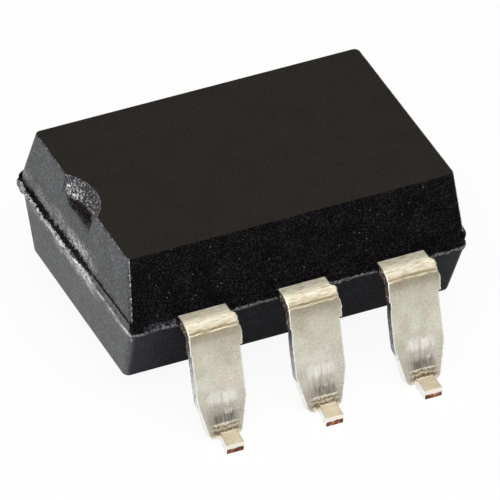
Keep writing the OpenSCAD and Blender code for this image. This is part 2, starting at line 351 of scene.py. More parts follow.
def flash_marks(add, where, spot, facing, grain, skin):
    """Marks on an end wall: a black crack above the flash, partly a crack and partly painted shade under the
    upper half, white chips on it, partly chips and partly painted highlight where the ledge catches the
    light, and paler patches around it. Towards the front the crack and the chips narrow to lines. The
    notch's floor is as black as the crack, a painted shadow. Gives the marked skin and the share of black."""
    backward = add("MapRange", {0: spot["Y"], 1: -1.3, 2: -0.4})
    rough = add("TexNoise", {"Vector": where, "Scale": per_mm(0.3), "Detail": 6.0, "Roughness": 0.8})
    wander = add("MapRange", {0: rough, 1: 0.3, 2: 0.7, 3: -0.11, 4: 0.11})
    steady = add("MapRange", {0: backward, 3: 0.25, 4: 1.0})
    wander = add("Math", {0: wander, 1: steady}, operation="MULTIPLY")

    # By height, red is crack and painted shade, green is white chips and painted highlight, blue is paler
    level = flash_level(add, spot, wander)
    before = bands(
        add, level, 2.0, 3.4,
        (2.2, "#000000"), (2.36, "#0000a0"), (2.385, "#00ff00"), (2.44, "#00ff00"), (2.46, "#000000"),
        (2.715, "#000000"), (2.73, "#ff0000"), (2.78, "#ff0000"), (2.795, "#000000"))
    behind = bands(
        add, level, 2.0, 3.4,
        (2.03, "#000000"), (2.2, "#0000d0"), (2.32, "#0090ff"), (2.42, "#00f0ff"), (2.6, "#00ff00"),
        (2.64, "#ff0000"), (2.73, "#ff0000"), (2.98, "#0000d0"), (3.12, "#0000c0"), (3.38, "#000000"))
    marks = add("MixRGB", {"Fac": backward, "Color1": before, "Color2": behind})
    mark = add("SeparateColor", {0: marks}).outputs

    # Smears and chips drawn out along the wall, fewer or duller towards the back. The chips are partly
    # painted highlight.
    drawn = add("Mapping", {"Vector": where, "Scale": (1.0, 0.5, 1.0)})
    smear = add("TexNoise", {"Vector": drawn, "Scale": per_mm(0.22), "Detail": 4.0})
    chip = add("TexNoise", {"Vector": drawn, "Scale": per_mm(0.12), "Detail": 3.0})
    fewer = add("MapRange", {0: spot["Y"], 1: 0.7, 2: 1.8, 3: 1.0, 4: 0.3})
    duller = add("MapRange", {0: spot["Y"], 1: 2.0, 2: 3.0, 3: 1.0, 4: 0.4})
    rubbed = add("MapRange", {0: smear, 1: 0.34, 2: 0.6, 4: fewer})
    chips_and_highlights = add("MapRange", {0: chip, 1: 0.38, 2: 0.52, 4: duller})
    pale = add("ValToRGB", {"Fac": grain}, [(0.38, "#70757c"), (0.56, "#ffffff")])
    white = add("ValToRGB", {"Fac": grain}, [(0.36, "#80848a"), (0.52, "#ffffff")])
    skin = laid(add, skin, pale, mark["Blue"], rubbed)
    skin = laid(add, skin, white, mark["Green"], chips_and_highlights)

    # Painted shadow on the notch's floor, with a ragged front edge, and the speckled crack, partly painted
    # shade
    floor_z = body_top - notch_depth
    ragged = add("Math", {0: spot["Z"], 1: wander}, operation="ADD")
    floor = add("MapRange", {0: ragged, 1: floor_z - 0.13, 2: floor_z - 0.04})
    upward = add("MapRange", {0: facing["Z"], 1: 0.3, 2: 0.5})
    below = add("MapRange", {0: spot["Z"], 1: floor_z + 0.2, 2: floor_z + 0.1})
    for part in (upward, below):
        floor = add("Math", {0: floor, 1: part}, operation="MULTIPLY")
    speck = add("TexNoise", {"Vector": where, "Scale": per_mm(0.09), "Detail": 4.0, "Roughness": 0.7})
    speck = add("MapRange", {0: speck, 1: 0.32, 2: 0.68, 3: -0.45, 4: 0.45})
    crack_and_shade = add("Math", {0: mark["Red"], 1: speck}, operation="ADD")
    crack_and_shade = add("MapRange", {0: crack_and_shade, 1: 0.4, 2: 0.52})
    # The share of black: the crack with its painted shade, and the painted shadow on the notch's floor
    black = add("Math", {0: floor, 1: crack_and_shade}, operation="MAXIMUM")
    return skin, black


def black_epoxy(kind, tones, grit, grit_depth, roughness, gloss, glint, painted_light_pattern=""):
    """Moulded epoxy, black with soot and filled with powdered quartz. Its skin takes the mould's grit: a fine
    grain, cloudy patches where the filler lies closer to the surface, and here and there a bare grain. The
    real grit is about 0.02 mm, too fine to show, so it is drawn coarser. The painted light pattern is
    "paled" on the lower sides, which are painted paler towards the ends and round the corners as painted
    light, and "marked" on the ends, with marks of the flash among painted shade and highlights."""
    material, add = new_material("black_epoxy_" + kind)
    where, spot, facing = places(add)
    cloud = add("TexNoise", {"Vector": where, "Scale": per_mm(0.5), "Detail": 3.0})
    grain = add("TexNoise", {"Vector": where, "Scale": per_mm(grit), "Detail": 2.0})
    quartz = add("TexVoronoi", {"Vector": where, "Scale": per_mm(0.2)}, feature="F1")
    mixed = add("MixRGB", {"Fac": 0.8, "Color1": cloud, "Color2": grain})
    skin = add("ValToRGB", {"Fac": mixed}, tones)
    bare = add("MapRange", {0: quartz, 1: 0.09, 2: 0.05})
    skin = laid(add, skin, colour(glint), bare)
    if painted_light_pattern == "rubbed":
        # Painted light: paler towards the ends and round the corners
        for source, start, end, code in ((spot, 3.0, 4.1, "#27262a"), (facing, 0.1, 0.75, "#44474c")):
            off = add("Math", {0: source["X"]}, operation="ABSOLUTE")
            part = add("MapRange", {0: off, 1: start, 2: end})
            tone = colour(code)
            skin = add("MixRGB", {"Fac": part, "Color1": skin, "Color2": tone}, blend_type="ADD")
    if painted_light_pattern == "marked":
        skin, black = flash_marks(add, where, spot, facing, grain, skin)
    dull = add("MapRange", {0: grain, 3: roughness - 0.08, 4: roughness + 0.08})
    relief = add("Bump", {"Height": grain, "Distance": grit_depth * MM})
    shared = {"Normal": relief, "IOR": 1.55}
    shader = add("BsdfPrincipled", {
        "Base Color": skin, "Roughness": dull, "Specular IOR Level": gloss, **shared})
    if painted_light_pattern == "marked":
        # The crack's black, which is also painted shade under the upper half and painted shadow in the notch
        soot = add("ValToRGB", {"Fac": grain}, [(0.4, "#060405"), (0.62, "#2c2526")])
        crack_and_shade = add("BsdfPrincipled", {
            "Base Color": soot, "Roughness": 0.7, "Specular IOR Level": 0.05, **shared})
        shader = add("MixShader", {0: black, 1: shader, 2: crack_and_shade})
    add("OutputMaterial", {"Surface": shader})
    return material


def plate_tones(add, place, facing, run, painted_light_pattern):
    """The plating's tones along a lead, from the body over the knee and its crease to the toe. Over the knee
    they are painted shading: paler mid-knee and darker towards the crease, a dark line in the crease with a
    painted highlight just below it, and darker again under that. In places that painted crease is softer,
    and the foot's upward faces are cream, paler partly as painted light from above."""
    # Painted shading over the knee and a painted highlight just below the crease
    plate = bands(
        add, run, wall_out, foot_end,
        (3.25, "#ece8da"), (3.38, "#efebdd"), (3.5, "#fffaea"), (3.62, "#fffaec"), (3.667, "#f0ecdf"),
        (3.693, "#e9e4d6"), (3.719, "#dfd9c9"), (3.744, "#d9d2bf"), (3.769, "#cfc5ae"), (3.79, "#a0947a"),
        (3.802, "#a0947a"), (3.813, "#b9af9a"), (3.826, "#d0c9b8"), (3.836, "#f0eada"), (3.844, "#f0eada"),
        (3.854, "#9f9682"), (3.896, "#a69f90"), (3.924, "#aca698"), (3.949, "#b8b3a6"), (3.97, "#c6c1b4"),
        (4.08, "#d4d1c5"), (4.2, "#dbd9cf"), (4.34, "#e0ddd5"), (4.46, "#d3cfc8"), (4.6, "#c8c3bc"),
        (4.72, "#c8c2ba"), (4.8, "#dcdad4"))
    soft_crease_plate = bands(
        add, run, wall_out, foot_end,
        (3.25, "#ece8da"), (3.38, "#efebdd"), (3.5, "#fffaea"), (3.62, "#fffaec"), (3.693, "#e9e4d6"),
        (3.744, "#dcd5c3"), (3.785, "#c0b59c"), (3.81, "#b5ab94"), (3.835, "#c8bfaa"), (3.86, "#a1977f"),
        (3.896, "#a69f90"), (3.949, "#b8b3a6"), (3.97, "#c6c1b4"))
    painted_light_patch = add("MapRange", {0: painted_light_pattern, 1: 0.4, 2: 0.58, 4: 0.85})
    by_crease = add("MapRange", {0: place["Y"], 1: 3.96, 2: 3.93})
    # The foot's upward faces, cream and partly painted light from above
    upward = add("MapRange", {0: facing["Z"], 1: 0.5, 2: 0.8})
    on_foot = add("MapRange", {0: place["Z"], 1: 0.32, 2: 0.28})
    plate = laid(add, plate, soft_crease_plate, painted_light_patch, by_crease)
    return laid(add, plate, colour("#f2e8d2"), upward, on_foot)


def tool_marks(add, place, facing, run, scored, comb, fleck, skin):
    """Marks of the bending tools on a leg's front: a burnished band with a line down its middle, dark scores
    below it with bright specks on one side, and folds above the foot, brown in their hollows with painted
    highlights along them."""
    fringe = add("MapRange", {0: comb, 3: -0.05, 4: 0.05})
    mark_run = add("Math", {0: place["Y"], 1: fringe}, operation="ADD")
    uneven = add("MapRange", {0: fleck, 1: 0.3, 2: 0.7, 3: -0.012, 4: 0.012})
    fold_run = add("Math", {0: run, 1: uneven}, operation="ADD")
    # Folds: brown in their hollows, with painted highlight lines along them
    folds = bands(
        add, fold_run, wall_out, foot_end,
        (4.636, "#c4bdad"), (4.648, "#f4f0e6"), (4.66, "#988a70"), (4.678, "#776952"), (4.69, "#e6dece"),
        (4.7, "#8b7a5c"), (4.716, "#5c4c36"), (4.73, "#a6957a"), (4.745, "#f3ead8"))
    # Red is burnished and green is scored
    marks = bands(
        add, mark_run, wall_out, foot_end,
        (4.37, "#000000"), (4.4, "#ff0000"), (4.46, "#ff0000"), (4.485, "#007800"), (4.53, "#00b400"),
        (4.56, "#00ff00"), (4.64, "#00ff00"), (4.66, "#000000"))
    mark = add("SeparateColor", {0: marks}).outputs

    offside = add("Math", {0: place["X"]}, operation="ABSOLUTE")
    pressed, split, soft, inner, creased, one_side, dotted, low = (
        add("MapRange", {0: way, 1: start, 2: end})
        for way, start, end in (
            (offside, 0.42, 0.26), (offside, 0.005, 0.03), (offside, 0.4, 0.2), (offside, 0.34, 0.24),
            (offside, 0.4, 0.26), (place["X"], 0.0, -0.06), (place["Y"], 4.56, 4.54),
            (place["Y"], 4.63, 4.645)))
    polish, streak, speck, blotch = (
        add("MapRange", {0: pattern, 1: start, 2: end, 3: least, 4: 1.0})
        for pattern, start, end, least in (
            (comb, 0.6, 0.35, 0.45), (scored, 0.36, 0.6, 0.42), (fleck, 0.5, 0.64, 0.0),
            (fleck, 0.35, 0.55, 0.6)))
    front = add("MapRange", {0: facing["Y"], 1: 0.2, 2: 0.5})
    for tone, masks in (
            (colour("#e9e8e4"), (mark["Red"], pressed, split, polish)),
            (colour("#6c6a62"), (mark["Green"], soft, streak)),
            (colour("#f6f4ec"), (mark["Green"], inner, dotted, one_side, speck)),
            (folds, (low, creased, blotch))):
        skin = laid(add, skin, tone, front, *masks)
    return skin


def matte_tin():
    """Electroplated matte tin on stamped copper, a warm chalky grey with a fine grain. The bending tools have
    wiped it in bright streaks across the knee, folded it in a crease below them, burnished and scored it
    above the foot, and left brown folds there."""
    material, add = new_material("matte_tin_electroplated")
    _, place, facing = places(add)
    own = own_place(add)
    across, along, only_x = (
        add("Mapping", {"Vector": own, "Scale": stretch})
        for stretch in ((0.12, 1.0, 1.0), (1.0, 0.1, 0.1), (1.0, 0.0, 0.0)))
    wiped, scored, comb, grain, fleck, cloud, stain, wave, painted_light_pattern = (
        add("TexNoise", {"Vector": way, "Scale": per_mm(size), "Detail": detail})
        for way, size, detail in (
            (across, 0.026, 3.0), (along, 0.032, 2.0), (along, 0.09, 2.0), (own, 0.04, 3.0), (own, 0.05, 3.0),
            (own, 0.5, 4.0), (own, 0.3, 2.0), (only_x, 0.3, 3.0), (only_x, 0.5, 1.0)))

    # The place along the strip, from the body to the toe, with wavering edges
    wavering = add("MapRange", {0: wave, 3: -0.03, 4: 0.03})
    run = add("Math", {0: place["Y"], 1: wavering}, operation="ADD")
    skin = plate_tones(add, place, facing, run, painted_light_pattern)

    knee = add("MapRange", {0: place["Z"], 1: 2.53, 2: 2.58})
    leg_mix = add("MixRGB", {"Fac": 0.5, "Color1": cloud, "Color2": grain})
    leg_tone, knee_tone, cast = (add("ValToRGB", {"Fac": pattern}, stops) for pattern, stops in (
        (leg_mix, [(0.37, "#dddbd5"), (0.5, "#f1f0ed"), (0.62, "#ffffff")]),
        (wiped, [(0.36, "#cdc8b8"), (0.48, "#f2efe6"), (0.58, "#ffffff")]),
        (stain, [(0.36, "#fafdf7"), (0.5, "#ffffff"), (0.64, "#fffaf5")])))
    shade = add("MixRGB", {"Fac": knee, "Color1": leg_tone, "Color2": knee_tone})
    for tone in (shade, cast):
        skin = add("MixRGB", {"Fac": 1.0, "Color1": skin, "Color2": tone}, blend_type="MULTIPLY")
    skin = tool_marks(add, place, facing, run, scored, comb, fleck, skin)

    ridge = add("MapRange", {0: wiped, 3: 0.4, 4: 0.6})
    height = add("MixRGB", {"Fac": knee, "Color1": grain, "Color2": ridge})
    dull = add("MapRange", {0: height, 1: 0.35, 2: 0.65, 3: 0.7, 4: 0.5})
    return surface(material, add, skin, height, 0.005, dull, 0.6)


def mottled(name, tones, size, depth, rough, metal, others=()):
    """A finish of a few tones, in spots of one size in millimetres that also stand proud by a depth. The rest
    is as for a surface."""
    material, add = new_material(name)
    spots = add("TexNoise", {"Vector": own_place(add), "Scale": per_mm(size), "Detail": 4.0})
    tone = add("ValToRGB", {"Fac": spots}, tones)
    return surface(material, add, tone, spots, depth, rough, metal, others)


def sheared_tin(lighting, dark, pale, bare):
    """Tin plated over a sheared side, bluish grey and a little ridged, in a well lit, half shaded or shaded
    copy whose tones are painted light. It is plated thinly and dark near the tie bar's stub, and thicker and
    paler below."""
    material, add = new_material(lighting + "_tin_over_sheared_edge")
    where, place, _ = places(add)
    ridges = add("TexNoise", {"Vector": where, "Scale": per_mm(0.09), "Detail": 4.0})
    tone = add("ValToRGB", {"Fac": ridges}, [(0.35, dark), (0.6, pale)])
    plated = add("MapRange", {0: place["Z"], 1: tie_stub_low, 2: 1.1})
    cover = add("ValToRGB", {"Fac": plated}, [(0.0, bare), (1.0, "#ffffff")])
    skin = add("MixRGB", {"Fac": 1.0, "Color1": tone, "Color2": cover}, blend_type="MULTIPLY")
    return surface(material, add, skin, ridges, 0.006, 0.45, 1.0)


def sawn_copper():
    """Copper sawn through at the end of the foot, red-brown and darker to the sides, with tin smeared over
    its upper part."""
    material, add = new_material("copper_sawn")
    _, place, _ = places(add)
    spots = add("TexNoise", {"Vector": own_place(add), "Scale": per_mm(0.12), "Detail": 4.0})
    skin = add("ValToRGB", {"Fac": spots}, [
        (0.34, "#46281a"), (0.46, "#8c4a2e"), (0.54, "#94583e"), (0.66, "#c09a84")])
    offside = add("Math", {0: place["X"]}, operation="ABSOLUTE")
    dark = add("MapRange", {0: offside, 1: 0.1, 2: 0.2, 4: 0.8})
    wander = add("MapRange", {0: spots, 3: -0.03, 4: 0.03})
    level = add("Math", {0: place["Z"], 1: wander}, operation="ADD")
    smeared = add("MapRange", {0: level, 1: 0.115, 2: 0.14})
    skin = laid(add, skin, colour("#3a2618"), dark)
    skin = laid(add, skin, colour("#f1ebe2"), smeared)
    return surface(material, add, skin, spots, 0.006, 0.5, 0.7)


# The black moulding


def edge_reach(depth, radius, draft):
    """How far a drafted wall stands out at a depth below the face that its rounded edge runs into."""
    if depth >= radius * (1 - math.sin(draft)):
        return depth * math.tan(draft)
    return radius * (math.sqrt(1 - (1 - depth / radius) ** 2) - math.tan(math.pi / 4 - draft / 2))


def outline(half_x, half_y, radius):
    """Points round a rounded rectangle, anticlockwise from above, and the way that each faces."""
    signs = np.array([(1, 1), (-1, 1), (-1, -1), (1, -1)])
    corners = signs * (half_x - radius, half_y - radius)
    points, facing = [], []
    for quarter in range(4):
        angles = math.pi / 2 * (quarter + np.linspace(0, 1, corner_steps + 1))
        arc = np.stack([np.cos(angles), np.sin(angles)], axis=1)
        side = half_w if quarter % 2 else half_l
        shares = np.linspace(0, 1, round(2 * side / perimeter_step))[1:-1, None]
        straight = corners[quarter] * (1 - shares) + corners[(quarter + 1) % 4] * shares
        points += [corners[quarter] + radius * arc, straight + radius * arc[-1]]
        facing += [arc, np.repeat(arc[-1:], len(straight), axis=0)]
    return np.concatenate(points), np.concatenate(facing)


def drafted_ring(depth, height, edge_r, corner_r, half_y):
    """A ring of a wall at a depth below a half's flat face. half_y is its half width at the parting plane."""
    end_out = edge_reach(depth, edge_r, end_draft)
    inset = depth * math.tan(end_draft) - end_out
    return outline(half_l - height * math.tan(end_draft) + end_out,
                   half_y - height * math.tan(side_draft) + edge_reach(depth, edge_r, side_draft),
                   max(corner_r - inset, least_corner_r))[0]


def drafted_half(height, edge_r, corner_r, half_y, face_z, up, stop):
    """Rings of one half, from a flat face inside its rounded edge to a depth near the parting plane."""
    edge = edge_r * (1 - np.cos(np.linspace(0, math.pi / 2, edge_steps + 1)))
    rings = [np.column_stack([
        drafted_ring(d, height, edge_r, corner_r, half_y), np.full(ring_size, face_z + up * d)])
             for d in [*edge, stop / 2, *(stop - near_flash)]]
    inside_edge = (0.98, 0.98, 1)
    return [rings[0] * inside_edge] + rings


# Rows of a wall next to the flash, by their distance from it
near_flash = np.array([0.2, 0.16, 0.12, 0.08, 0.04, 0.0])
ring_size = len(outline(half_l, half_w, lower_corner_r)[0])

# The flash: how far out, how high above the lead frame's underside, and how torn
flash_levels = [
    (0.34, -0.12, 0.3), (0.7, -0.09, 0.6), (0.9, -0.055, 1.0), (1.0, -0.01, 1.0), (1.0, 0.035, 1.0),
    (0.84, 0.075, 0.8), (0.62, 0.115, 0.8), (0.78, 0.155, 0.8), (0.98, 0.195, 1.0), (0.94, 0.228, 1.0),
    (0.7, 0.247, 0.8), (0.34, 0.252, 0.4), (0.06, 0.256, 0.1)]


def flash_rings():
    """The torn rim that the mould's parting plane leaves. At the notched end it stands out and sags most at
    the back, at the other end it is a low pair of ridges, and next to the leads it is clean."""
    base, facing = outline(half_l, half_w, lower_corner_r)
    x, y = base.T
    flat = np.column_stack([base, np.zeros(ring_size)])
    endways, sideways = facing.T
    notched, plain = np.clip(-endways, 0, 1), np.clip(endways, 0, 1)
    backward = ease(y, -half_w, half_w)
    local = 1 - 0.4 * plain + ease(notched, 0.6, 1.0) * (backward - 0.78)
    proud = flash_proud * local * (1 + 0.25 * ripple(flat, 0.5, 1) + 0.2 * ripple(flat, 0.16, 2))
    nearest = lead_pitch * np.clip(np.round(x / lead_pitch), -1, 1)
    from_lead = np.abs(x - nearest) - leg_w / 2
    by_lead = np.where(np.abs(sideways) > 0.9, 1 - ease(from_lead, 0.02, 0.1), 0.0)
    sagging = flash_sag * (0.5 * backward + 0.5 * ease(y, 1.2, half_w))
    rings = []
    for out, rise, torn in flash_levels:
        at = np.column_stack([base, np.full(ring_size, rise)])
        ragged = 0.5 * ripple(at, 0.11, 3) + 0.35 * ripple(at, 0.05, 4)
        square = min(3 * out, 1.0) if rise > 0 else out
        reach = proud * (out + (0.45 + 0.4 * notched) * torn * ragged) * (1 - by_lead)
        reach = reach + flash_proud * square * by_lead
        reach = reach * (1 - 0.6 * plain * bump(rise, 0.1, 0.05))
        tear = (0.03 + 0.03 * notched) * torn * ripple(at, 0.13, 5)
        sag = sagging * notched * min(max(rise / lead_t, 0), 1)
        height = frame_bottom + (rise + tear) * (1 - by_lead) - sag + 0.3 * plain * (rise - 0.1)
        height += by_lead * (rise + 0.014 * (rise > 0.2))
        rings.append(np.column_stack([base + facing * np.maximum(reach, 0)[:, None], height]))
    return rings


def index_notch(materials, floor_finish, wall_finish, glint_finish):
    """A round recess in the top edge of one end, with a torn wall, painted glints at its back and a soft lip.
    """
    floor_steps, wall_steps = 40, 20
    lip_drop = 0.12
    top_half_l = half_l - upper_h * math.tan(end_draft)
    notch_r = ((notch_w / 2) ** 2 + notch_reach ** 2) / (2 * notch_reach)
    floor_r = notch_r - notch_depth * math.tan(notch_draft)
    floor_z = body_top - notch_depth
    lip_x = notch_r - notch_reach

    # Radius and height of each ring: across the floor, up the wall and out of the top
    rise = np.linspace(0, 1, wall_steps)[1:]
    profile = [(radius, 0.0) for radius in np.linspace(0.5, floor_r - 0.01, floor_steps)]
    profile += [(floor_r + (notch_r - floor_r) * t, notch_depth * t + 0.004) for t in rise]
    profile.append((notch_r, notch_depth + 0.3))
    angles = np.linspace(0, 2 * math.pi, notch_steps, endpoint=False)
    rings, finish = [], []
    for radius, height in profile:
        ring = np.column_stack([
            radius * np.cos(angles), radius * np.sin(angles), np.full(notch_steps, height)])
        torn = ease(height, 0, 0.05) * (1 - ease(height, notch_depth - 0.09, notch_depth))
        rough = 0.03 * ripple(ring, 0.07, 6) + 0.018 * ripple(ring, 0.04, 7)
        if height > 0:
            # Painted glints: a whiter finish low on the back of the wall
            at = ring[:, 1] + 10 * rough
            glints = (at > 0.15) & (at < 0.8) & (height + 4 * rough < 0.27)
            finish.append(np.where(glints, glint_finish, wall_finish))
        else:
            ring[:, 2] -= lip_drop * (1 - ease(ring[:, 0], lip_x - 0.1, lip_x + 0.15))
            finish.append(np.full(notch_steps, floor_finish))
        rings.append(ring * (1 + torn * rough / radius)[:, None] + (0, 0, floor_z))
    points = np.concatenate(rings) - (top_half_l + lip_x, 0, 0)
    finish = np.append(np.concatenate(finish[:-1]), [floor_finish, wall_finish])
    return new_solid("index_notch", points, tube_faces(len(rings), notch_steps), materials, finish)


def moulding_finishes():
    """The epoxy's skins, by the part of the mould that each came from or the way that it broke, some with
    painted light or shade in their tones. After the tones come the grit's size and depth, the roughness,
    the gloss, the tone of bare grains and the painted light pattern."""
    return [black_epoxy(*kind) for kind in (
        # Top and underside: smooth, brown-black
        ("polished_mould", [(0.36, "#12100d"), (0.62, "#24201c")], 0.05, 0.001, 0.5, 0.2, "#262320"),
        # Upper sides: sandy, and deep black, darker than the top as painted shade
        ("spark_eroded_mould", [(0.4, "#020202"), (0.52, "#080709"), (0.64, "#252126")],
         0.04, 0.015, 0.6, 0.035, "#605c62"),
        # Lower sides: deep black, painted paler towards the ends and round the corners as painted light
        ("fine_eroded_mould", [(0.38, "#040407"), (0.5, "#0e0e13"), (0.62, "#26262e")],
         0.05, 0.012, 0.6, 0.035, "#3a3a42", "rubbed"),
        # Ends: the same black epoxy painted dark grey as painted light, with a soft shine
        ("ground_mould", [(0.38, "#1b1d20"), (0.5, "#35383c"), (0.62, "#5c6065")],
         0.055, 0.01, 0.5, 0.45, "#7c8085", "marked"),
        # Flash: grey crumbs. Along the ends' top edges the same finish is a painted highlight
        ("torn_flash", [(0.38, "#222226"), (0.5, "#48484d"), (0.62, "#808086")],
         0.06, 0.03, 0.6, 0.3, "#a0a0a4"),
        # Upright corners: whitish specks, partly broken grains and partly painted highlight. Notch: painted
        # glints
        ("chipped_flash", [(0.42, "#1a1a1d"), (0.52, "#77787c"), (0.62, "#e4e5e9")],
         0.05, 0.03, 0.55, 0.5, "#f2f2f4"),
        # Notch's wall: crackled, and grey as painted light, like the ends
        ("torn_notch", [(0.41, "#101013"), (0.53, "#46464c"), (0.65, "#a2a2aa")],
         0.05, 0.04, 0.45, 0.4, "#b4b4ba"),
        # Band of flash beside the notched end: dull grey
        ("sheared_flash", [(0.4, "#141317"), (0.54, "#302f34"), (0.68, "#66646b")],
         0.06, 0.02, 0.6, 0.06, "#8c8c92"))]


def black_moulding():
    """The two drafted halves with the flash between them, cut out for the notch, the leads and the pale
    moulding inside."""
    materials = moulding_finishes()
    polished, eroded, fine, grey_lit_end, torn, chips_and_highlights, notched, sheared = range(8)
    rings = drafted_half(lower_h, lower_edge_r, lower_corner_r, half_w + lower_step, standoff, 1,
                         lower_h - flash_fade)
    # The lower half is a little longer at the plain end
    rings = [ring + lower_longer * ease(ring[:, :1], 0, half_l / 2) * (1, 0, 0) for ring in rings]
    flash_start = len(rings)
    rings += flash_rings()
    flash_stop = len(rings)
    upper = drafted_half(upper_h, upper_edge_r, upper_corner_r, half_w, body_top, -1, upper_h - flash_top)
    rings += upper[::-1]
    top_edge = len(rings) - 2

    around, facing = outline(half_l, half_w, lower_corner_r)
    x, y = around.T
    endways, sideways = np.abs(facing).T
    end = endways > sideways
    # The ends take the grey finish, whose grey is painted light
    finish = [np.where(end, grey_lit_end, fine)] * flash_start
    finish += [np.where(end, grey_lit_end, eroded)] * (len(rings) - 1 - flash_start)
    finish[0] = finish[-1] = np.full(ring_size, polished)
    # Along the sides the flash is a torn line, with a sheared band above it next to the notched end. At the
    # front corner there it is broken away.
    by_end = x < -lead_pitch - leg_w / 2
    broken = (x < 0.28 - half_l) & (y < 0.1 - half_w)
    for row, (_, rise, _) in enumerate(flash_levels, flash_start):
        along = np.full(ring_size, fine if rise < -0.07 else torn if rise < 0.02 else eroded)
        along[by_end & (rise >= 0.02) & (rise < 0.17)] = sheared
        finish[row] = np.where(broken & (rise > 0), eroded, np.where(end, grey_lit_end, along))
    # Above it the corners take pale specks, partly chips and partly painted highlight, and the top edges of
    # the ends a painted highlight line
    painted_light_patch = np.abs(endways - sideways) < 0.1
    for row in range(flash_stop, top_edge):
        finish[row] = np.where(painted_light_patch, chips_and_highlights, finish[row])
    for row in range(top_edge - edge_steps, top_edge):
        finish[row] = np.where(end, torn, finish[row])
    finish = np.concatenate(finish + [[polished, polished]])
    moulding = new_solid(
        "black_moulding", np.concatenate(rings), tube_faces(len(rings), ring_size), materials, finish)

    notch = index_notch(materials, grey_lit_end, notched, chips_and_highlights)
    inside = [solid_copy(node) for node in lead_rows] + [solid_copy("inner_moulding", filled=True)]
    for tool in [notch] + inside:
        combine(moulding, tool, "DIFFERENCE")
        bpy.data.objects.remove(tool)
    smooth(moulding, sharp_deg=40)
    seat(moulding, "black_epoxy", "outer_moulding")


# The leads


def bent_path(moves, s):
    """Place and heading at distances s along a lead, which runs straight and then turns, move by move. The
    knee is the first one."""
    y, z, heading = (np.full(len(s), value) for value in lead_start)
    done = 0.0
    for run, turn, radius in [knee_move, *moves]:
        part = np.clip(s - done, 0, run)
        y = y + part * np.cos(heading)
        z = z + part * np.sin(heading)
        done += run
        side = math.copysign(1, turn)
        after = heading + side * np.clip((s - done) / radius, 0, abs(turn))
        y = y + side * radius * (np.sin(after) - np.sin(heading))
        z = z - side * radius * (np.cos(after) - np.cos(heading))
        heading = after
        done += abs(turn) * radius
    return y, z, heading


def sheet_section(front, back, side, corner):
    """Points round a sheet's section: place across, place through the sheet, and the way that each faces."""
    turns = np.linspace(0, math.pi / 2, corner + 2)[1:-1]
    columns = []
    for quarter, (count, start, end) in enumerate([
            (front, (-1, 1), (1, 1)), (side, (1, 1), (1, -1)),
            (back, (1, -1), (-1, -1)), (side, (-1, -1), (-1, 1))]):
        angle = math.pi / 2 * (1 - quarter)
        for t in np.linspace(0, 1, count):
            place = np.array(start) * (1 - t) + np.array(end) * t
            columns.append((*place, math.cos(angle), math.sin(angle)))
        columns += [(*end, math.cos(angle - turn), math.sin(angle - turn)) for turn in turns]
    return np.array(columns).T


def sheet_solid(name, path, left, right, inset, section, edge_r, skin, materials, finish):
    """A bent sheet as a closed solid. left and right are its half widths along the path, inset rounds its
    ends, and skin moves its front face out by an amount at each point."""
    across, through, face_x, face_out = section
    y, z, heading = (value[:, None] for value in path)
    half = ((right + left) / 2 - inset - edge_r)[:, None]
    x = ((right - left) / 2)[:, None] + across * half + face_x * edge_r
    out = through * (lead_t / 2 - edge_r - inset[:, None]) + face_out * edge_r
    points = np.stack([x, y - out * np.sin(heading), z + out * np.cos(heading)], axis=-1)
    moved = skin(points) * np.maximum(face_out, 0)
    points[..., 1] -= moved * np.sin(heading)
    points[..., 2] += moved * np.cos(heading)
    faces = tube_faces(*points.shape[:2])
    flat = points.reshape(-1, 3)
    return new_solid(name, flat, faces, materials, finish(points, section))


lead_rows = {
    "lead_1_anode": (-1, -1), "lead_2_cathode": (-1, 0), "lead_3_spare": (-1, 1),
    "lead_4_emitter": (1, 1), "lead_5_collector": (1, 0), "lead_6_base": (1, -1)}


def leg_skin(seed, points):
    """How far a leg's front stands out of its plane: a wavy crease on the knee, the bending tool's dent with
    its scores, a nick beside it, and small folds above the foot."""
    flat = points.reshape(-1, 3)
    x, y, z = flat.T
    only_x = flat * (1, 0, 0)
    wave = ripple(only_x, 0.3, seed)
    # The distance round the knee, and the crease across it with a ridge below
    turn = np.arctan2(y - knee_start, np.maximum(z - (frame_mid - knee_mid_r), 1e-6))
    knee = np.where(z > knee_end_z, turn * (knee_mid_r + lead_t / 2), beyond)
    crease = crease_run + 0.02 * wave + 0.008 * ripple(only_x, 0.1, seed + 4)
    deep = 0.65 + 0.35 * ripple(only_x, 0.45, seed + 6)
    out = deep * (0.01 * bump(knee, crease + 0.035, 0.014) - 0.016 * bump(knee, crease, 0.012))
    # Lines wiped across the knee
    wiped = (knee < crease) * ease(y, wall_out, knee_start)
    out += 0.0008 * wiped * ripple(flat * (0.15, 1, 1), 0.04, seed + 1)
    # The dent, its scores, a faint unevenness and the nick
    pressed = ease(x, -0.45, -0.3) * (1 - ease(x, 0.32, 0.46))
    out -= 0.03 * pressed * bump(z - 0.03 * wave, 0.7, 0.2)
    scored = pressed * bump(z, 0.66, 0.18)
    out += 0.006 * scored * ripple(flat * (1, 0.1, 0.1), 0.05, seed + 2)
    out += 0.004 * ripple(flat, 0.35, seed + 3) * ease(y, wall_out, knee_start)
    out -= 0.03 * bump(z, 0.63, 0.014) * ease(-x, 0.36, 0.42)
    # The folds
    fold_z = z + 0.03 * wave
    folds = sum(bump(fold_z, level, 0.014) for level in (0.45, 0.385, 0.325))
    out += 0.007 * folds * (1 - ease(np.abs(x), 0.2, 0.34))
    return out.reshape(points.shape[:2])


def foot_skin(seed, points):
    """A faintly uneven face."""
    return 0.003 * ripple(points.reshape(-1, 3), 0.1, seed).reshape(points.shape[:2])


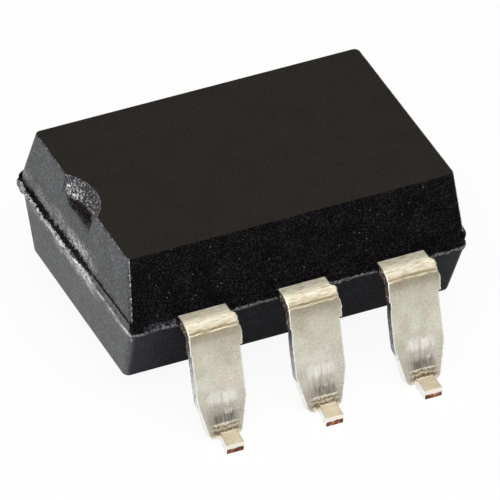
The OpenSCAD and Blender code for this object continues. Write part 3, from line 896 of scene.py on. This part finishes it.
def cut_edges(points, section):
    """Matte tin on the faces and bright tin along their edges. The sheared sides are grey, tarnished copper
    from the tie bar's stubs up, black next to the body as painted shade, and bright on the taper. The foot's
    end is sawn copper."""
    matte, bright, sheared, tarnished, sawn, shaded_side = range(6)
    _, y, z = np.moveaxis((points[:-1] + points[1:]) / 2, -1, 0)
    sideways = np.abs(section[2])
    flank = sideways > 0.9
    sawn_depth = 0.003
    finish = np.broadcast_to(np.where(sideways > 0.1, bright, matte), y.shape).copy()
    finish[flank & (z > sheared_low)] = sheared
    finish[flank & (z > tie_stub_low)] = tarnished
    # Painted shade next to the body
    finish[flank & (y < wall_out + side_shade_run)] = shaded_side
    finish[y > foot_end - sawn_depth] = sawn
    return np.append(finish.ravel(), [matte, sawn])


def steps(*marks):
    """Places along a sheet. Each mark gives a place and the longest step from there on."""
    runs = [np.linspace(a, b, math.ceil((b - a) / step), endpoint=False)
            for (a, step), (b, _) in zip(marks, marks[1:])]
    return np.append(np.concatenate(runs), marks[-1][0])


def leg_widths(column, s, z, seed):
    """Half widths of a leg's two ragged sides, at distances along it and heights. The first bulges at the
    knee, and the second leans out lower down. Both have a stub of the tie bar, and taper to a shoulder."""
    low = np.clip(shoulder_r - (z - shoulder_h), 0, shoulder_r)
    rounded = shoulder_r - np.sqrt(np.maximum(shoulder_r ** 2 - low ** 2, 0))
    stub = tie_stub * (1 - ease(z, tie_stub_fade, tie_stub_high)) * (z > tie_stub_low)
    bend = s - knee_move[0]
    at_knee = bump(bend, 0.42, 0.22)
    bulge = knee_bulge * ease(bend, 0.07, 0.16) * (1 - 0.65 * ease(bend, 0.18, 0.42))
    bulge = bulge * (1 - ease(bend, 0.42, 0.75))
    widths = []
    for edge in (0, 1):
        at = np.column_stack([s, np.full(len(s), edge), np.zeros(len(s))])
        jag = 0.004 + (1 - edge) * (0.012 * at_knee + 0.02 * bump(bend, 0.18, 0.14))
        jagged = jag * ripple(at, 0.08, seed + edge) + 0.12 * stub * ripple(at, 0.06, seed + 2 + edge)
        pushed = leg_lean[column] * ease(z, 2.2, 1.7) - 0.015 * at_knee if edge else bulge
        taper = np.clip((taper_start[edge] - z) / (taper_start[edge] - shoulder_h), 0, 1)
        narrowed = ((leg_w - shoulder_w) / 2 - shoulder_spread[edge]) * taper + rounded
        widths.append(leg_w / 2 - narrowed + stub * (1 - 0.6 * edge) + pushed + jagged * ease(s, 0.25, 0.6))
    return widths


def lead_foot(column, materials, seed):
    """A foot that leaves its leg at the ankle, leans to one side there, and ends in a rounded toe."""
    run = foot_end - foot_start
    foot_s = ankle_s + fold * ankle_mid_r + run
    rounding = np.array([0.0, 0.003, 0.01, 0.025, 0.04, 0.055, 0.07, 0.085, 0.1])
    s = steps((ankle_s - foot_lap, crease_step), (foot_s - run, sheet_step), (foot_s - 0.008, 0))
    inset = np.concatenate([np.zeros(len(s) - 1), rounding])
    s = np.concatenate([s, np.full(len(rounding) - 1, foot_s)])
    path = bent_path([(leg_run, fold, ankle_mid_r), (run, 0.0, 1.0)], s)
    narrowed = np.clip(path[0] - (foot_end - toe_chamfer), 0, toe_chamfer)
    lean = foot_lean[column] * (1 - ease(path[0], foot_start - 0.1, foot_end))
    widths = [foot_w / 2 + foot_spread[0] + 0.5 * lean - narrowed,
              foot_w / 2 + foot_spread[1] - lean - narrowed]
    sunk = inset + foot_sink * (1 - ease(s, ankle_s, ankle_s + foot_lap))
    return sheet_solid("foot", path, *widths, sunk, sheet_section(*foot_points), foot_edge_r,
                       partial(foot_skin, seed), materials, cut_edges)


def tinned_lead(node, materials, seed):
    """One lead: the leg with its shoulders, the foot that leaves it, and the stamped part inside the body."""
    side, column = lead_rows[node]
    turn = Matrix.Rotation(0 if side > 0 else math.pi, 4, "Z")
    place = Matrix.Translation((column * lead_pitch * MM, 0, 0)) @ turn
    s = steps((0, sheet_step), (knee_move[0], crease_step), (knee_s + 0.05, sheet_step),
              (knee_s + shoulder_run, 0))
    path = bent_path([(shoulder_run, 0.0, 1.0)], s)
    widths = leg_widths(column, s, path[1] + lead_t / 2 * math.cos(fold), seed)
    leg = sheet_solid("tinned_" + node, path, *widths, np.zeros(len(s)), sheet_section(*leg_points),
                      leg_edge_r, partial(leg_skin, seed), materials, cut_edges)
    foot = lead_foot(column, materials, seed + 5)

    pocket = new_box("pocket", (-foot_w / 2 + pocket_lap, 0, -1),
                     (foot_w / 2 - foot_lean[column] - pocket_lap, foot_end, 1), materials)
    y, z, heading = bent_path([(beyond, 0.0, 1.0)], np.array([ankle_s + pocket_start]))
    lay = Matrix.Translation((0, y[0] * MM, z[0] * MM)) @ Matrix.Rotation(heading[0], 4, "X")
    stamped = solid_copy(node)
    crop = new_box("crop", (-beyond, -beyond, 0), (beyond, inner_y + inner_lap, beyond), materials)
    for solid in (leg, foot, crop):
        solid.matrix_world = place
    pocket.matrix_world = place @ lay
    combine(stamped, crop, "INTERSECT")
    combine(leg, pocket, "DIFFERENCE")
    combine(leg, foot, "UNION")
    combine(leg, stamped, "UNION")
    for tool in (pocket, foot, crop, stamped):
        bpy.data.objects.remove(tool)
    smooth(leg, sharp_deg=35)
    seat(leg, "tinned_copper", node)


def tinned_leads():
    """The six leads. Their finishes are the same, apart from the sheared sides, which are painted darker from
    the notched end on, as painted shade. Each lead has ten seeds of its own."""
    tin = matte_tin()
    # Tin that ran over the sheet's rounded edges, smooth, with a white line of light along it
    bright = mottled("bright_tin_reflowed", [(0.35, "#dedcd6"), (0.6, "#faf9f5")], 0.07, 0.004, 0.4, 1.0)
    # Well lit, half shaded and shaded copies of one tin, by column: painted light and shade
    sheared = {
        -1: sheared_tin("thick", "#a3a5a3", "#ececea", "#b0aeac"),
        0: sheared_tin("even", "#7a7c7b", "#c4c5c2", "#6c6866"),
        1: sheared_tin("thin", "#585959", "#989996", "#6c6866")}
    # Copper bared where the tie bar was cut, brown with tarnish and smeared with tin
    tarnished = mottled(
        "copper_tarnished", [(0.38, "#33261f"), (0.48, "#6a5246"), (0.57, "#9a8473"), (0.66, "#e6ddd0")],
        0.06, 0.01, 0.5, 0.6)
    sawn = sawn_copper()
    # Painted shade on the sheared sides next to the body, a dull brown-black skin
    shaded_side = black_epoxy("film", [(0.4, "#050404"), (0.55, "#100d0d"), (0.66, "#332a28")],
                         0.05, 0.01, 0.6, 0.05, "#4a423e")
    for number, (node, (_, column)) in enumerate(lead_rows.items()):
        materials = [tin, bright, sheared[column], tarnished, sawn, shaded_side]
        tinned_lead(node, materials, 20 + 10 * number)


def new_box(name, low, high, materials):
    """A plain cutting block."""
    corners = [(x, y, z) for z in (low[2], high[2])
               for x, y in ((low[0], low[1]), (high[0], low[1]), (high[0], high[1]), (low[0], high[1]))]
    faces = tube_faces(2, 4)
    return new_solid(name, corners, faces, materials, [0] * len(faces))


# The pieces inside


def inner_finishes():
    """Finishes for the hidden pieces, which keep the frame's own shapes."""
    finishes = {
        # Cast epoxy that lets infrared through, milky and cream-white with filler
        ("inner_moulding",): mottled(
            "pale_epoxy_cast", [(0.35, "#d8d3c4"), (0.65, "#efece2")], 0.12, 0.004, 0.5, 0.0,
            {"IOR": 1.55, "Subsurface Weight": 0.2, "Subsurface Scale": 0.4 * MM}),
        # Sawn and polished crystal, dark grey with a faint violet cast
        ("emitter_chip",): mottled(
            "gallium_arsenide_polished", [(0.4, "#46444c"), (0.6, "#5a5762")], 0.06, 0.001, 0.2, 0.6),
        # Oxide on a polished wafer, blue-grey
        ("detector_chip",): mottled(
            "silicon_oxidised", [(0.4, "#454c63"), (0.6, "#5f6880")], 0.1, 0.001, 0.18, 0.6),
        # Epoxy paste full of silver flakes, dull and grainy
        ("emitter_adhesive", "detector_adhesive"): mottled(
            "silver_epoxy_cured", [(0.38, "#8d8c88"), (0.6, "#cbcac6")], 0.03, 0.006, 0.55, 0.7),
        # Bonding wire drawn through a die, warm yellow and bright
        ("emitter_wire", "base_wire", "detector_emitter_wire"): mottled(
            "gold_drawn", [(0.4, "#d9a94a"), (0.6, "#f0c768")], 0.02, 0.001, 0.25, 1.0)}
    for nodes, finish in finishes.items():
        for node in nodes:
            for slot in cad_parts[node].material_slots:
                slot.material = finish


# The stage


def direction(azimuth, elevation):
    """The way from the part to a lamp or the camera, round from the front and up from the floor."""
    return Vector((math.sin(azimuth) * math.cos(elevation), -math.cos(azimuth) * math.cos(elevation),
                   math.sin(elevation)))


def studio():
    """A white floor, a dim room and soft lamps."""
    bpy.context.scene.view_settings.view_transform = "Standard"
    world = bpy.data.worlds.new("dim_room")
    world.use_nodes = True
    room = world.node_tree.nodes["Background"]
    room.inputs["Color"].default_value = colour("#d8d4cc")
    room.inputs["Strength"].default_value = 0.5
    bpy.context.scene.world = world

    # White card, which the eye and reflections see as nearly pure white
    material, add = new_material("white_card")
    material.cycles.emission_sampling = "NONE"
    path = add("LightPath")
    seen = path.outputs["Is Camera Ray"]
    for ray in ("Is Glossy Ray", "Is Transmission Ray"):
        seen = add("Math", {0: seen, 1: path.outputs[ray]}, operation="MAXIMUM")
    share = add("Math", {0: seen, 1: 0.92}, operation="MULTIPLY")
    card = add("BsdfDiffuse", {"Color": colour("#f4f4f2")})
    white = add("Emission", {"Color": (1, 1, 1, 1), "Strength": 1.0})
    mixed = add("MixShader", {0: share, 1: card, 2: white})
    add("OutputMaterial", {"Surface": mixed})
    # A hair below the feet, so that no two faces lie in one plane
    drop = 0.004
    size = 400
    corners = [(-size, -size, -drop), (size, -size, -drop), (size, size, -drop), (-size, size, -drop)]
    floor = new_solid("floor", corners, [(0, 1, 2, 3)], [material], [0])

    for name, azimuth, elevation, distance, width, watts in (
            ("softbox_left", -50, 35, 200, 160, 0.1), ("softbox_front", -10, 62, 220, 260, 0.45)):
        lamp = bpy.data.lights.new(name, "AREA")
        lamp.size = width * MM
        lamp.energy = watts
        softbox = put(name, lamp)
        back = direction(math.radians(azimuth), math.radians(elevation))
        softbox.location = back * distance * MM
        softbox.rotation_euler = back.to_track_quat("Z", "Y").to_euler()


def camera():
    """The photograph's view, from its left and above, through a long lens."""
    azimuth, elevation, roll = (math.radians(v) for v in (-26.4773, 38.3686, 2.2044))
    distance = 224.95
    target = Vector((0.1022, -0.2855, 1.5411))
    focal_pixels = 9615.5
    image_pixels = 500
    back = direction(azimuth, elevation)
    right = Vector((math.cos(azimuth), math.sin(azimuth), 0))
    up = back.cross(right)
    turned = right * math.cos(roll) + up * math.sin(roll)
    raised = up * math.cos(roll) - right * math.sin(roll)
    lens = bpy.data.cameras.new("photo_view")
    lens.sensor_width = 36
    lens.lens = lens.sensor_width * focal_pixels / image_pixels
    lens.clip_start, lens.clip_end = 0.01, 10
    eye = put("photo_view", lens)
    facing = Matrix((turned, raised, back)).transposed().to_4x4()
    eye.matrix_world = Matrix.Translation((target + back * distance) * MM) @ facing
    bpy.context.scene.camera = eye


black_moulding()
tinned_leads()
inner_finishes()
studio()
camera()
